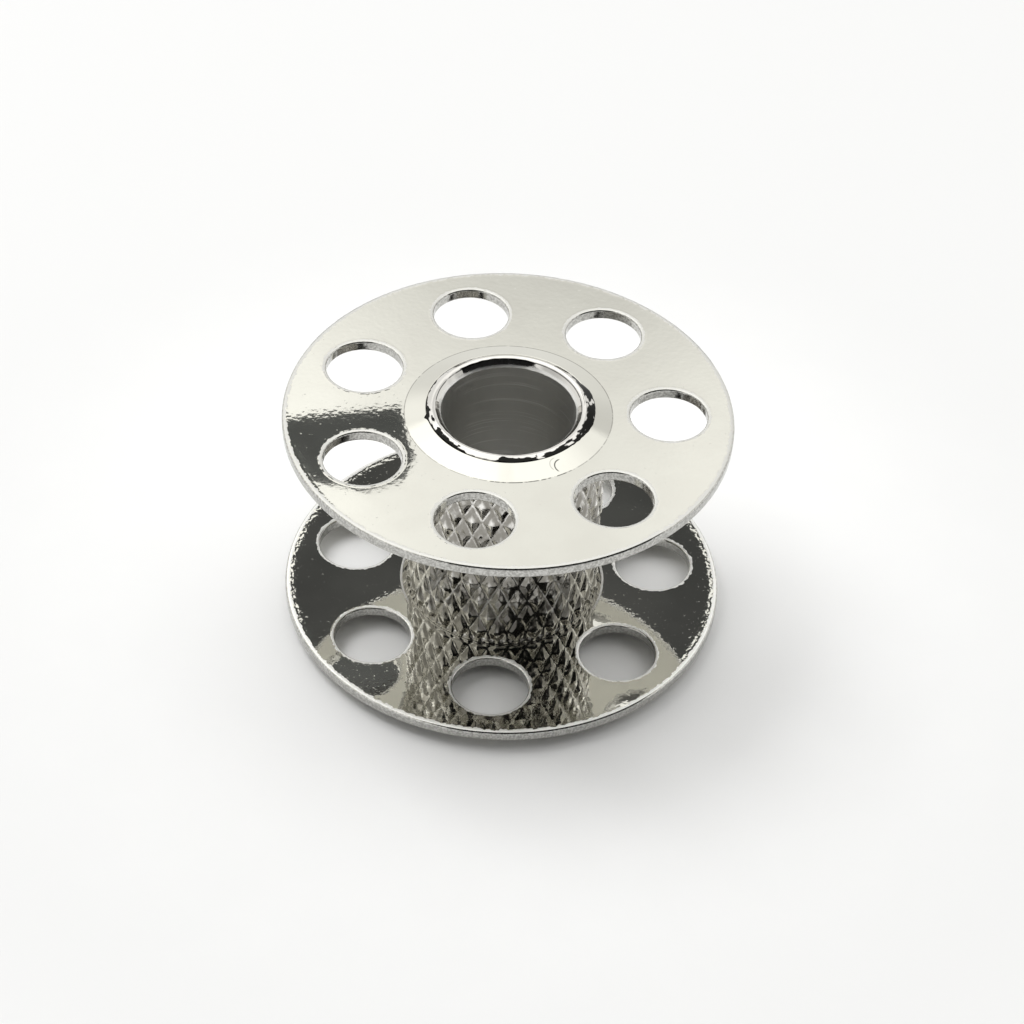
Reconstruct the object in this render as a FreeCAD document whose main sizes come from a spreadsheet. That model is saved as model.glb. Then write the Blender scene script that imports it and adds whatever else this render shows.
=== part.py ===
import FreeCAD, Part
import math
import os
import Sketcher

# A metal sewing machine bobbin: a knurled tube with a pressed flange swaged on each end.
# The frame has +Z along the spindle bore and its origin under it, where the lower lip meets a table.

# Driving sizes in millimetres, angles in degrees, and counts
DRIVING_SIZES = {
    # Overall form
    "overall_height": 11.65,
    "flange_diameter": 20.4,
    "flange_thickness": 0.55,
    "rim_round": 0.15,
    # Tube, from its bore outwards
    "bore_diameter": 6.1,
    "spigot_wall": 0.5,
    "tube_wall": 1.5,
    "end_chamfer": 0.12,
    # Rolled lip at each end of the tube
    "lip_height": 0.46,
    "lip_land": 0.12,
    "funnel_width": 0.31,
    "funnel_depth": 0.4,
    "flare_width": 0.2,
    "flare_depth": 0.2,
    "swage_clearance": 0.02,
    # Raised collar pressed round each flange's centre hole
    "collar_rise": 0.33,
    "collar_margin": 0.15,
    "recess_margin": 0.2,
    "collar_bend_round": 0.12,
    # Ring of round holes through each flange, between two webs
    "hole_count": 7,
    "collar_web": 0.8,
    "rim_web": 1.2,
    "hole_edge_round": 0.14,
    "upper_turn": 2.8,
    "lower_turn": 10.5,
    # Diamond knurl
    "knurl_depth": 0.2,
    "knurl_starts": 31,
    "knurl_angle": 25.4,
    "knurl_turn": 1.7,
    "knurl_lift": -0.4,
}

# Radii that follow from the driving sizes, from the bore outwards
BORE = "(sizes.bore_diameter / 2)"
CREST_INSIDE = f"({BORE} + sizes.funnel_width)"
CREST_OUTSIDE = f"({CREST_INSIDE} + sizes.lip_land)"
SPIGOT = f"({BORE} + sizes.spigot_wall)"
FLANGE_HOLE = f"({SPIGOT} + sizes.swage_clearance)"
COLLAR_TOP = f"({SPIGOT} + sizes.flare_width)"
KNURL_TOP = f"({BORE} + sizes.tube_wall)"
KNURL_BLANK = f"({KNURL_TOP} + sizes.knurl_depth / 2)"
SHOULDER = f"({KNURL_TOP} - sizes.end_chamfer)"
COLLAR_FOOT = f"({KNURL_TOP} + sizes.collar_margin)"
COLLAR_SLOPE = f"(sizes.collar_rise / ({COLLAR_FOOT} - {COLLAR_TOP}))"
RECESS_FOOT = f"({KNURL_TOP} + sizes.recess_margin)"
RIM = "(sizes.flange_diameter / 2)"
HOLE = f"(({RIM} - sizes.rim_web - {COLLAR_FOOT} - sizes.collar_web) / 2)"
HOLE_CIRCLE = f"({COLLAR_FOOT} + sizes.collar_web + {HOLE})"

# Heights of the flanges' inner faces
LOWER_SEAT = "(sizes.lip_height + sizes.flange_thickness)"
UPPER_SEAT = f"(sizes.overall_height - {LOWER_SEAT})"


def make_sheet(doc):
    """Keep the driving sizes in a sheet, each in a cell with its own alias."""
    sheet = doc.addObject("Spreadsheet::Sheet", "sizes")
    for row, (name, value) in enumerate(DRIVING_SIZES.items(), start=1):
        sheet.set(f"A{row}", name)
        sheet.set(f"B{row}", str(value))
        sheet.setAlias(f"B{row}", name)
    doc.recompute()
    return sheet


def new_body(doc, label):
    """Start a body with its own label."""
    body = doc.addObject("PartDesign::Body", label)
    body.Label = label
    return body


def new_sketch(body, name, plane):
    """Lay a sketch on one of the body's own origin planes."""
    sketch = body.newObject("Sketcher::SketchObject", name)
    support = next(item for item in body.Origin.OriginFeatures if item.Role == plane)
    sketch.AttachmentSupport = (support, [""])
    sketch.MapMode = "FlatFace"
    return sketch


def bind_length(sketch, constraint, name, expression):
    """Add a named length to a sketch and tie it to the sheet."""
    index = sketch.addConstraint(constraint)
    sketch.renameConstraint(index, name)
    sketch.setExpression(f"Constraints.{name}", expression)


def section_sketch(body, name, corners):
    """Draw a closed section of straight lines; each corner is (name, radius, height) as expressions."""
    sketch = new_sketch(body, name, "XZ_Plane")
    points = [
        FreeCAD.Vector(body.evalExpression(radius), body.evalExpression(height), 0)
        for _, radius, height in corners
    ]
    for start, end in zip(points, points[1:] + points[:1]):
        sketch.addGeometry(Part.LineSegment(start, end))
    for line, (corner, radius, height) in enumerate(corners):
        previous = (line - 1) % len(corners)
        sketch.addConstraint(Sketcher.Constraint("Coincident", previous, 2, line, 1))
        across = Sketcher.Constraint("DistanceX", -1, 1, line, 1, points[line].x)
        bind_length(sketch, across, f"{corner}_radius", radius)
        if points[line].y == 0:
            sketch.addConstraint(Sketcher.Constraint("PointOnObject", line, 1, -1))
        else:
            upward = Sketcher.Constraint("DistanceY", -1, 1, line, 1, points[line].y)
            bind_length(sketch, upward, f"{corner}_height", height)
    return sketch


def revolve(body, name, sketch):
    """Turn a section through a full circle round Z."""
    turned = body.newObject("PartDesign::Revolution", name)
    turned.Profile = sketch
    turned.ReferenceAxis = (sketch, ["V_Axis"])
    turned.Angle = 360
    return turned


def circle_edges(shape, radius):
    """Name the round edges of a shape that have this radius."""
    return [
        f"Edge{number}"
        for number, edge in enumerate(shape.Edges, start=1)
        if isinstance(edge.Curve, Part.Circle) and math.isclose(edge.Curve.Radius, radius, abs_tol=1e-6)
    ]


def round_edges(body, name, base, radii, size):
    """Round the edges whose radii are given, to a size in the sheet."""
    body.Document.recompute()
    edges = [edge for radius in radii for edge in circle_edges(base.Shape, body.evalExpression(radius))]
    fillet = body.newObject("PartDesign::Fillet", name)
    fillet.Base = (base, edges)
    fillet.setExpression("Radius", size)
    body.Tip = fillet
    return fillet


def flange_section(body):
    """Draw a flange's section, with its inner face at zero height and its collar upwards."""
    collar_height = "sizes.flange_thickness + sizes.collar_rise"
    corners = [
        ("inner_rim", RIM, "0"),
        ("outer_rim", RIM, "sizes.flange_thickness"),
        ("collar_foot", COLLAR_FOOT, "sizes.flange_thickness"),
        ("collar_top", COLLAR_TOP, collar_height),
        ("flare_seat", FLANGE_HOLE, f"{collar_height} - sizes.flare_depth"),
        ("recess_top", FLANGE_HOLE, f"({RECESS_FOOT} - {FLANGE_HOLE}) * {COLLAR_SLOPE}"),
        ("recess_foot", RECESS_FOOT, "0"),
    ]
    return section_sketch(body, f"{body.Label}_section", corners)


def flange_holes(body):
    """Punch the ring of holes through a flange."""
    circle_radius = body.evalExpression(HOLE_CIRCLE)
    hole_radius = body.evalExpression(HOLE)
    sketch = new_sketch(body, f"{body.Label}_hole", "XY_Plane")
    centre = FreeCAD.Vector(circle_radius, 0, 0)
    sketch.addGeometry(Part.Circle(centre, FreeCAD.Vector(0, 0, 1), hole_radius))
    sketch.addConstraint(Sketcher.Constraint("PointOnObject", 0, 3, -1))
    across = Sketcher.Constraint("DistanceX", -1, 1, 0, 3, circle_radius)
    bind_length(sketch, across, "hole_circle", HOLE_CIRCLE)
    round_size = Sketcher.Constraint("Radius", 0, hole_radius)
    bind_length(sketch, round_size, "hole_radius", HOLE)

    punch = body.newObject("PartDesign::Pocket", f"{body.Label}_punch")
    punch.Profile = sketch
    punch.Type = "ThroughAll"
    punch.Reversed = True

    ring = body.newObject("PartDesign::PolarPattern", f"{body.Label}_hole_ring")
    ring.Originals = [punch]
    ring.Axis = (sketch, ["N_Axis"])
    ring.Angle = 360
    ring.setExpression("Occurrences", "sizes.hole_count")
    body.Tip = ring
    return ring


def make_flange(doc, label):
    """Press a flange: a disc with a raised collar, a ring of holes and rounded edges."""
    body = new_body(doc, label)
    revolve(body, f"{label}_pressing", flange_section(body))
    holes = flange_holes(body)
    bend = round_edges(body, f"{label}_collar_bend", holes, [COLLAR_FOOT], "sizes.collar_bend_round")
    recess_round = "sizes.collar_bend_round + sizes.flange_thickness"
    recess = round_edges(body, f"{label}_recess_bend", bend, [RECESS_FOOT], recess_round)
    edges = round_edges(body, f"{label}_hole_edges", recess, [HOLE], "sizes.hole_edge_round")
    round_edges(body, f"{label}_rim", edges, [RIM], "sizes.rim_round")
    return body


def place_flanges(sheet, upper, lower):
    """Seat the flanges on the tube's shoulders, collars outwards, each turned as it was swaged."""
    upright = FreeCAD.Vector(0, 0, 1)
    turned_over = FreeCAD.Rotation(FreeCAD.Vector(1, 0, 0), 180)
    upper.Placement.Rotation = FreeCAD.Rotation(upright, sheet.upper_turn)
    upper.setExpression("Placement.Base.z", UPPER_SEAT)
    lower.Placement.Rotation = FreeCAD.Rotation(upright, sheet.lower_turn) * turned_over
    lower.setExpression("Placement.Base.z", LOWER_SEAT)


def tube_end_corners():
    """List the corners of the tube's lower end, from the bore out over the lip to the knurl blank."""
    flare_height = "sizes.lip_height - sizes.collar_rise"
    shoulder_height = f"{LOWER_SEAT} - ({RECESS_FOOT} - {SHOULDER}) * {COLLAR_SLOPE}"
    return [
        ("bore", BORE, "sizes.funnel_depth"),
        ("crest_inside", CREST_INSIDE, "0"),
        ("crest_outside", CREST_OUTSIDE, "0"),
        ("flare_edge", f"{COLLAR_TOP} - sizes.swage_clearance", flare_height),
        ("flare_root", SPIGOT, f"{flare_height} + sizes.flare_depth"),
        ("spigot_root", SPIGOT, f"{LOWER_SEAT} - ({RECESS_FOOT} - {SPIGOT}) * {COLLAR_SLOPE}"),
        ("shoulder", SHOULDER, shoulder_height),
        ("blank", KNURL_BLANK, f"{shoulder_height} + {KNURL_BLANK} - {SHOULDER}"),
    ]


def make_turned_tube(doc):
    """Turn the tube blank: bore, shoulders, spigots and rolled lips, alike at both ends."""
    body = new_body(doc, "turned_tube")
    lower_end = [(f"lower_{name}", radius, height) for name, radius, height in tube_end_corners()]
    upper_end = [
        (f"upper_{name}", radius, f"sizes.overall_height - ({height})")
        for name, radius, height in reversed(tube_end_corners())
    ]
    revolve(body, "turning", section_sketch(body, "tube_section", lower_end + upper_end))
    return body


def knurl_grid(sheet):
    """Lay out rows of points round the tube: along each, groove crossings and diamond tops take turns."""
    columns = 2 * int(sheet.knurl_starts)
    top_radius = sheet.bore_diameter / 2 + sheet.tube_wall
    root_radius = top_radius - sheet.knurl_depth
    turn = 2 * math.pi / columns
    row_rise = top_radius * turn / math.tan(math.radians(sheet.knurl_angle))
    rows_each_way = math.ceil((sheet.overall_height / 2 + abs(sheet.knurl_lift)) / row_rise)
    angles = [math.radians(sheet.knurl_turn) + column * turn for column in range(columns)]
    grid = []
    for row in range(2 * rows_each_way + 1):
        height = sheet.overall_height / 2 + sheet.knurl_lift + (row - rows_each_way) * row_rise
        radii = [top_radius if is_diamond_top(row, column) else root_radius for column in range(columns)]
        grid.append([
            FreeCAD.Vector(radius * math.cos(angle), radius * math.sin(angle), height)
            for angle, radius in zip(angles, radii)
        ])
    return grid


def is_diamond_top(row, column):
    """Tell the points of the knurl's grid that are tops of diamonds from the groove crossings."""
    return (row + column) % 2 == 1


def flat_face(points):
    """Span a flat face between points given in order."""
    return Part.Face(Part.makePolygon([*points, points[0]]))


def knurl_facets(grid):
    """Split every cell of the grid along its groove, into flanks of the diamonds on both sides of it."""
    facets = []
    for row, (low, high) in enumerate(zip(grid, grid[1:])):
        for column in range(len(low)):
            beside = (column + 1) % len(low)
            cell = [low[column], low[beside], high[beside], high[column]]
            if is_diamond_top(row, column):
                cell = cell[1:] + cell[:1]
            facets.append(flat_face([cell[0], cell[1], cell[2]]))
            facets.append(flat_face([cell[0], cell[2], cell[3]]))
    return facets


def make_knurl_form(doc, sheet):
    """Close the knurled surface into a solid bar, longer than the tube."""
    grid = knurl_grid(sheet)
    shell = Part.makeShell([flat_face(grid[0]), *knurl_facets(grid), flat_face(grid[-1])])
    shell.sewShape()
    form = doc.addObject("Part::Feature", "knurl_form")
    form.Shape = Part.makeSolid(shell)
    return form


def make_hub(doc, sheet):
    """Knurl the turned tube: keep what lies inside both the turning and the knurled bar."""
    hub = doc.addObject("Part::Common", "hub")
    hub.Label = "hub"
    hub.Base = make_turned_tube(doc)
    hub.Tool = make_knurl_form(doc, sheet)
    return hub


def check(doc, pieces):
    """Stop if any step of the model failed or a piece is not one valid solid."""
    failed = [item.Name for item in doc.Objects if {"Invalid", "Error"} & set(item.State)]
    if failed:
        raise RuntimeError(f"failed: {failed}")
    for piece in pieces:
        if piece.Shape.isNull() or not piece.Shape.isValid() or len(piece.Shape.Solids) != 1:
            raise RuntimeError(f"{piece.Label} is not one valid solid")


def main():
    """Build the bobbin's three pieces and write a file for each."""
    doc = FreeCAD.newDocument("bobbin")
    sheet = make_sheet(doc)
    upper = make_flange(doc, "upper_flange")
    lower = make_flange(doc, "lower_flange")
    place_flanges(sheet, upper, lower)
    pieces = [make_hub(doc, sheet), upper, lower]
    doc.recompute()
    check(doc, pieces)
    os.makedirs("parts", exist_ok=True)
    for piece in pieces:
        piece.Shape.exportStep(os.path.join("parts", f"{piece.Label}.step"))
        print(piece.Label, "volume", round(piece.Shape.Volume, 3), "box", piece.Shape.BoundBox)


main()
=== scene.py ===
"""Dresses the sewing machine bobbin: a knurled hub between two mirror-bright flanges, on a white floor."""
import logging
import math
from collections.abc import Sequence
from dataclasses import dataclass, field
from enum import Enum
from functools import reduce

import bpy
import numpy as np
from mathutils import Matrix


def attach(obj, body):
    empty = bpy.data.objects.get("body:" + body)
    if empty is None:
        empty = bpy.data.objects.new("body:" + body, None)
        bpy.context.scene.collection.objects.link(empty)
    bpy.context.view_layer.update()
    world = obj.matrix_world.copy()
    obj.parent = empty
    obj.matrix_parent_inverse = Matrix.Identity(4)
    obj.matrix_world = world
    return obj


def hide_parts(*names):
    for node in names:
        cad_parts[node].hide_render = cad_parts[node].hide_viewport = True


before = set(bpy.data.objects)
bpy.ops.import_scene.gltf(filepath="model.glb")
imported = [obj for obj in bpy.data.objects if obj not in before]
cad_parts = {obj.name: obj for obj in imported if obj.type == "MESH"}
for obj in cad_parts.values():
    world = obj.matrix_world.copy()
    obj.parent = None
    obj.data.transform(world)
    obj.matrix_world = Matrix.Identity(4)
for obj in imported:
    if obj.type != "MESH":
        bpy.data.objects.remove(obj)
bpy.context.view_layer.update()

LOG = logging.getLogger("bobbin")
MM = 0.001
FULL_TURN = 2.0 * math.pi
ROOT_BODY = "root"

Array = np.ndarray
Point = tuple[float, float, float]
Colour = tuple[float, float, float, float]
Roll = tuple[float, float, float]
Scalar = "Wire | float"


class Slot(Enum):
    """The record's material slots."""

    HUB = "hub_metal"
    FLANGE = "flange_metal"


class End(Enum):
    """The two ends of the bobbin."""

    LOWER = "lower"
    UPPER = "upper"


@dataclass(frozen=True)
class Sizes:
    """Sizes of the real bobbin in millimetres and degrees, as in the part's own model."""

    height: float = 11.65
    rim: float = 10.2
    thickness: float = 0.55
    bore: float = 3.05
    spigot: float = 3.55
    knurl_top: float = 4.55
    shoulder: float = 4.43
    lip_height: float = 0.46
    crest_inside: float = 3.36
    crest_outside: float = 3.48
    funnel_depth: float = 0.4
    flare_edge: float = 3.73
    flare_depth: float = 0.2
    flange_hole: float = 3.57
    collar_top: float = 3.75
    collar_foot: float = 4.7
    collar_rise: float = 0.33
    collar_bend: float = 0.12
    recess_margin: float = 0.2
    hole: float = 1.75
    hole_circle: float = 7.25
    hole_count: int = 7
    upper_turn: float = 2.8
    lower_turn: float = 10.5
    knurl_depth: float = 0.2
    knurl_starts: int = 31
    knurl_angle: float = 25.4
    knurl_turn: float = 1.7
    knurl_lift: float = -0.4

    @property
    def collar_slope(self) -> float:
        """Rise of the collar for each millimetre inwards."""
        return self.collar_rise / (self.collar_foot - self.collar_top)

    @property
    def recess_foot(self) -> float:
        """Radius where the recess under the collar meets the flange's inner face."""
        return self.knurl_top + self.recess_margin

    @property
    def seat(self) -> float:
        """Height of the lower flange's inner face."""
        return self.lip_height + self.thickness

    @property
    def row_rise(self) -> float:
        """Height between two rows of groove crossings on the knurl."""
        half_pitch = self.knurl_top * math.pi / self.knurl_starts
        return half_pitch / math.tan(math.radians(self.knurl_angle))


SIZES = Sizes()


def rounded_profile(corners: Array, radii: Array, steps: int = 6) -> Array:
    """Rounds the inner corners of an open line in the half plane.

    Each corner becomes an arc tangent to the two straight runs that meet there.

    Args:
        corners: Points as rows of radius and height; the surface's outside is on the right of the way along.
        radii: Radius of the arc at each corner; those of the first and last points are not used.
        steps: Number of chords in each arc.

    Returns:
        Rows of radius, height and the outward normal's two parts.
    """
    runs = np.diff(corners, axis=0)
    runs = runs / np.linalg.norm(runs, axis=1, keepdims=True)
    outward = np.stack([runs[:, 1], -runs[:, 0]], axis=1)
    turns = runs[:-1, 0] * runs[1:, 1] - runs[:-1, 1] * runs[1:, 0]
    angles = np.arcsin(np.clip(turns, -1.0, 1.0))
    sharp = np.einsum("ij,ij->i", runs[:-1], runs[1:]) < 0
    angles = np.where(sharp, np.sign(angles) * math.pi - angles, angles)
    share = np.linspace(0.0, 1.0, steps + 1)
    pieces = [np.hstack([corners[0], outward[0]])[None, :]]
    for corner, radius, angle, run, normal in zip(corners[1:-1], radii[1:-1], angles, runs, outward):
        side = math.copysign(1.0, angle)
        start = corner - run * radius * math.tan(abs(angle) / 2)
        heading = math.atan2(normal[1], normal[0]) + share * angle
        arc_normals = np.stack([np.cos(heading), np.sin(heading)], axis=1)
        arc = start + side * radius * (arc_normals - normal)
        pieces.append(np.hstack([arc, arc_normals]))
    pieces.append(np.hstack([corners[-1], outward[-1]])[None, :])
    return np.vstack(pieces)


def rolled_edge(width: float, tilt: float, radius: float, steps: int = 8) -> Array:
    """Draws the worn edge of a plate: its top falls away over a width, and an arc goes on to the wall.

    The tilt grows with the square of the way across the width, and steadily round the arc.

    Args:
        width: Length of the part that falls away.
        tilt: Tilt in degrees at the start of the arc.
        radius: Radius of the arc.
        steps: Number of chords in each of the two.

    Returns:
        Rows of way out from the start, drop, and the normal's outward and upward parts.
    """
    share = np.linspace(0.0, 1.0, 4 * steps + 1)
    start = math.radians(tilt)
    roll = start * share ** 2
    turn = start + (math.pi / 2 - start) * share
    tilts = np.concatenate([roll, turn[1:]])
    lengths = np.concatenate([np.full(4 * steps, width), np.full(4 * steps, radius * (math.pi / 2 - start))])
    middle = (tilts[1:] + tilts[:-1]) / 2
    moves = np.stack([np.cos(middle), np.sin(middle)], axis=1) * (lengths / (4 * steps))[:, None]
    way = np.concatenate([np.zeros((1, 2)), np.cumsum(moves, axis=0)])
    return np.hstack([way, np.sin(tilts)[:, None], np.cos(tilts)[:, None]])[::4]


@dataclass
class Surface:
    """A surface of triangles in millimetres, with a normal for each point."""

    points: Array
    normals: Array
    triangles: Array
    values: dict[str, Array] = field(default_factory=dict)

    @classmethod
    def from_grid(
        cls, points: Array, normals: Array, wrap: bool = False, split: Array | None = None
    ) -> "Surface":
        """Covers a grid of points with two triangles to a cell.

        Args:
            points: Grid of points, rows by columns by three.
            normals: Normals of the same shape.
            wrap: Whether the last column joins the first.
            split: Cells cut along the other diagonal are true.

        Returns:
            The surface, facing along columns crossed with rows.
        """
        rows, columns = points.shape[:2]
        index = np.arange(rows * columns).reshape(rows, columns)
        if wrap:
            index = np.hstack([index, index[:, :1]])
        a, b = index[:-1, :-1], index[:-1, 1:]
        d, c = index[1:, :-1], index[1:, 1:]
        other = np.zeros(a.shape, bool) if split is None else split
        first = np.stack([a, b, np.where(other, d, c)], axis=-1)
        second = np.stack([np.where(other, b, a), c, d], axis=-1)
        triangles = np.concatenate([first.reshape(-1, 3), second.reshape(-1, 3)])
        return cls(points.reshape(-1, 3), normals.reshape(-1, 3), triangles)

    @classmethod
    def turned(cls, profile: Array, angles: Array) -> "Surface":
        """Turns a profile of radius, height and normal round Z, through a closed ring of angles."""
        across = np.stack([np.cos(angles), np.sin(angles)], axis=-1)

        def spin(radial: Array, height: Array) -> Array:
            """Places radial and height parts at every angle."""
            flat = radial[:, None, None] * across[None]
            upward = np.broadcast_to(height[:, None, None], flat[..., :1].shape)
            return np.concatenate([flat, upward], axis=-1)

        points, normals = spin(profile[:, 0], profile[:, 1]), spin(profile[:, 2], profile[:, 3])
        return cls.from_grid(points, normals, wrap=True)

    @classmethod
    def joined(cls, parts: "list[Surface]") -> "Surface":
        """Puts surfaces together, and welds the points that they share."""
        offsets = np.cumsum([0] + [len(part.points) for part in parts[:-1]])
        points = np.concatenate([part.points for part in parts])
        normals = np.concatenate([part.normals for part in parts])
        triangles = np.concatenate([part.triangles + start for part, start in zip(parts, offsets)])
        _, first, inverse = np.unique(np.round(points, 5), axis=0, return_index=True, return_inverse=True)
        inverse = inverse.reshape(-1)
        summed = np.zeros((len(first), 3))
        np.add.at(summed, inverse, normals)
        triangles = inverse[triangles]
        whole = np.all(triangles != np.roll(triangles, 1, axis=1), axis=1)
        unit = summed / np.linalg.norm(summed, axis=1, keepdims=True)
        return cls(points[first], unit, triangles[whole])

    def moved(self, matrix: Array, shift: Array) -> "Surface":
        """Turns the surface by a rotation matrix and shifts it."""
        return Surface(self.points @ matrix.T + shift, self.normals @ matrix.T, self.triangles, self.values)

    def with_own_normals(self) -> "Surface":
        """Takes each point's normal from the triangles round it, weighed by their areas."""
        corner = self.points[self.triangles]
        facing = np.cross(corner[:, 1] - corner[:, 0], corner[:, 2] - corner[:, 0])
        summed = np.zeros_like(self.points)
        np.add.at(summed, self.triangles.reshape(-1), np.repeat(facing, 3, axis=0))
        length = np.maximum(np.linalg.norm(summed, axis=1, keepdims=True), 1e-12)
        return Surface(self.points, summed / length, self.triangles, self.values)

    def to_object(self, name: str) -> bpy.types.Object:
        """Makes a shown mesh object, in metres, with these normals."""
        mesh = bpy.data.meshes.new(name)
        mesh.from_pydata((self.points * MM).tolist(), [], self.triangles.tolist())
        mesh.shade_smooth()
        mesh.normals_split_custom_set_from_vertices(self.normals.tolist())
        mesh.validate()
        for key, value in self.values.items():
            mesh.attributes.new(key, "FLOAT", "POINT").data.foreach_set("value", value.astype(np.float32))
        return add_object(name, mesh)


def add_object(name: str, data: bpy.types.ID) -> bpy.types.Object:
    """Adds an object with this data to the scene."""
    item = bpy.data.objects.new(name, data)
    bpy.context.scene.collection.objects.link(item)
    return item


def set_axes(item: bpy.types.Object, right: Array, back: Array, place: Array) -> None:
    """Points a camera or lamp away from its back, with its right side as given, at a place in millimetres."""
    matrix = np.eye(4)
    matrix[:3] = np.stack([right, np.cross(back, right), back, place * MM], axis=1)
    item.matrix_world = Matrix(matrix.tolist())


def turn_about_z(degrees: float) -> Array:
    """Gives the rotation matrix of a turn about Z."""
    cosine, sine = math.cos(math.radians(degrees)), math.sin(math.radians(degrees))
    return np.array([[cosine, -sine, 0.0], [sine, cosine, 0.0], [0.0, 0.0, 1.0]])


TURNED_OVER = np.diag([1.0, -1.0, -1.0])


class Wire:
    """A shader socket that does arithmetic: each operator adds a Math node to its tree."""

    def __init__(self, tree: bpy.types.NodeTree, socket: bpy.types.NodeSocket) -> None:
        """Keeps the tree and the output socket."""
        self.tree = tree
        self.socket = socket

    @classmethod
    def make(
        cls, tree: bpy.types.NodeTree, kind: str, inputs: dict[int | str, object], output: int | str = 0,
        **settings: object,
    ) -> "Wire":
        """Adds any node.

        Args:
            tree: Node tree to add to.
            kind: Node type without its ShaderNode prefix.
            inputs: Input sockets by name or number, each a wire or a constant.
            output: Name or number of the output that is wanted.
            settings: The node's own settings.

        Returns:
            The chosen output.
        """
        node = tree.nodes.new("ShaderNode" + kind)
        for name, value in settings.items():
            setattr(node, name, value)
        for key, value in inputs.items():
            if isinstance(value, Wire):
                tree.links.new(value.socket, node.inputs[key])
            else:
                node.inputs[key].default_value = value
        return cls(tree, node.outputs[output])

    def math(self, operation: str, *values: Scalar) -> "Wire":
        """Adds a Math node on this socket and others."""
        inputs = dict(enumerate((self, *values)))
        return Wire.make(self.tree, "Math", inputs, operation=operation)

    def __add__(self, other: Scalar) -> "Wire":
        """Adds."""
        return self.math("ADD", other)

    __radd__ = __add__

    def __mul__(self, other: Scalar) -> "Wire":
        """Multiplies."""
        return self.math("MULTIPLY", other)

    __rmul__ = __mul__

    def __sub__(self, other: Scalar) -> "Wire":
        """Takes away."""
        return self.math("SUBTRACT", other)

    def __rsub__(self, other: float) -> "Wire":
        """Takes this from a number."""
        return self * -1.0 + other

    def __truediv__(self, other: Scalar) -> "Wire":
        """Divides."""
        return self.math("DIVIDE", other)

    def __rtruediv__(self, other: float) -> "Wire":
        """Divides a number by this."""
        return self.math("POWER", -1.0) * other

    def __pow__(self, other: Scalar) -> "Wire":
        """Raises to a power."""
        return self.math("POWER", other)

    def __abs__(self) -> "Wire":
        """Drops the sign."""
        return self.math("ABSOLUTE")

    def larger(self, other: Scalar) -> "Wire":
        """The larger of two values."""
        return self.math("MAXIMUM", other)

    def smaller(self, other: Scalar) -> "Wire":
        """The smaller of two values."""
        return self.math("MINIMUM", other)

    def between(self, low: float, high: float) -> "Wire":
        """Rises smoothly from 0 at low to 1 at high; high may be the lower one."""
        ends = {"Value": self, "From Min": min(low, high), "From Max": max(low, high)}
        ends |= {"To Min": float(low > high), "To Max": float(low < high)}
        return Wire.make(self.tree, "MapRange", ends, interpolation_type="SMOOTHSTEP")

    def blend(self, first: "Wire | Colour", second: "Wire | Colour") -> "Wire":
        """Mixes two colours, with this as the share of the second."""
        inputs = {0: self, 6: first, 7: second}
        return Wire.make(self.tree, "Mix", inputs, 2, data_type="RGBA")

    def scaled(self, factor: Scalar) -> "Wire":
        """Scales a vector or colour."""
        return Wire.make(self.tree, "VectorMath", {0: self, "Scale": factor}, operation="SCALE")

    def times(self, factors: Point) -> "Wire":
        """Multiplies each part of a vector by its own factor."""
        return Wire.make(self.tree, "VectorMath", {0: self, 1: factors}, operation="MULTIPLY")

    def dot(self, direction: Point) -> "Wire":
        """Dot product of a vector with a fixed direction."""
        return Wire.make(self.tree, "VectorMath", {0: self, 1: direction}, "Value", operation="DOT_PRODUCT")

    def distance(self, centre: Point) -> "Wire":
        """Distance of a place from a fixed point."""
        return Wire.make(self.tree, "VectorMath", {0: self, 1: centre}, "Value", operation="DISTANCE")

    def part(self, axis: str) -> "Wire":
        """One part of a vector."""
        return Wire.make(self.tree, "SeparateXYZ", {0: self}, axis)

    def noise(self, scale: float, detail: float = 2.0, roughness: float = 0.5) -> "Wire":
        """Noise between about 0 and 1 at this place."""
        inputs = {"Vector": self, "Scale": scale, "Detail": detail, "Roughness": roughness}
        return Wire.make(self.tree, "TexNoise", inputs)


def mesh_value(tree: bpy.types.NodeTree, name: str) -> Wire:
    """Reads one of the mesh's own values."""
    return Wire.make(tree, "Attribute", {}, "Fac", attribute_name=name)


def new_material(name: str) -> tuple[bpy.types.Material, bpy.types.Node, Wire]:
    """Starts a metal material.

    Args:
        name: Name of the material.

    Returns:
        The material, its Principled BSDF node and the place on the piece in millimetres.
    """
    material = bpy.data.materials.new(name)
    material.use_nodes = True
    shader = material.node_tree.nodes["Principled BSDF"]
    place = Wire.make(material.node_tree, "TexCoord", {}, "Object").scaled(1.0 / MM)
    return material, shader, place


def connect(shader: bpy.types.Node, **wires: Wire) -> None:
    """Feeds a shader node's inputs; underscores in the names stand for spaces."""
    for name, wire in wires.items():
        wire.tree.links.new(wire.socket, shader.inputs[name.replace("_", " ")])


def round_axis(place: Wire) -> tuple[Wire, Wire]:
    """Gives the distance from the bobbin's axis, and the angle round it from the front."""
    radius = place.times((1.0, 1.0, 0.0)).distance((0.0, 0.0, 0.0))
    return radius, place.part("X").math("ARCTAN2", place.part("Y") * -1.0)


def bump(height: Wire) -> Wire:
    """Turns a height in millimetres into a normal."""
    inputs = {"Height": height * MM, "Strength": 1.0, "Distance": 1.0}
    return Wire.make(height.tree, "Bump", inputs)


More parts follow.
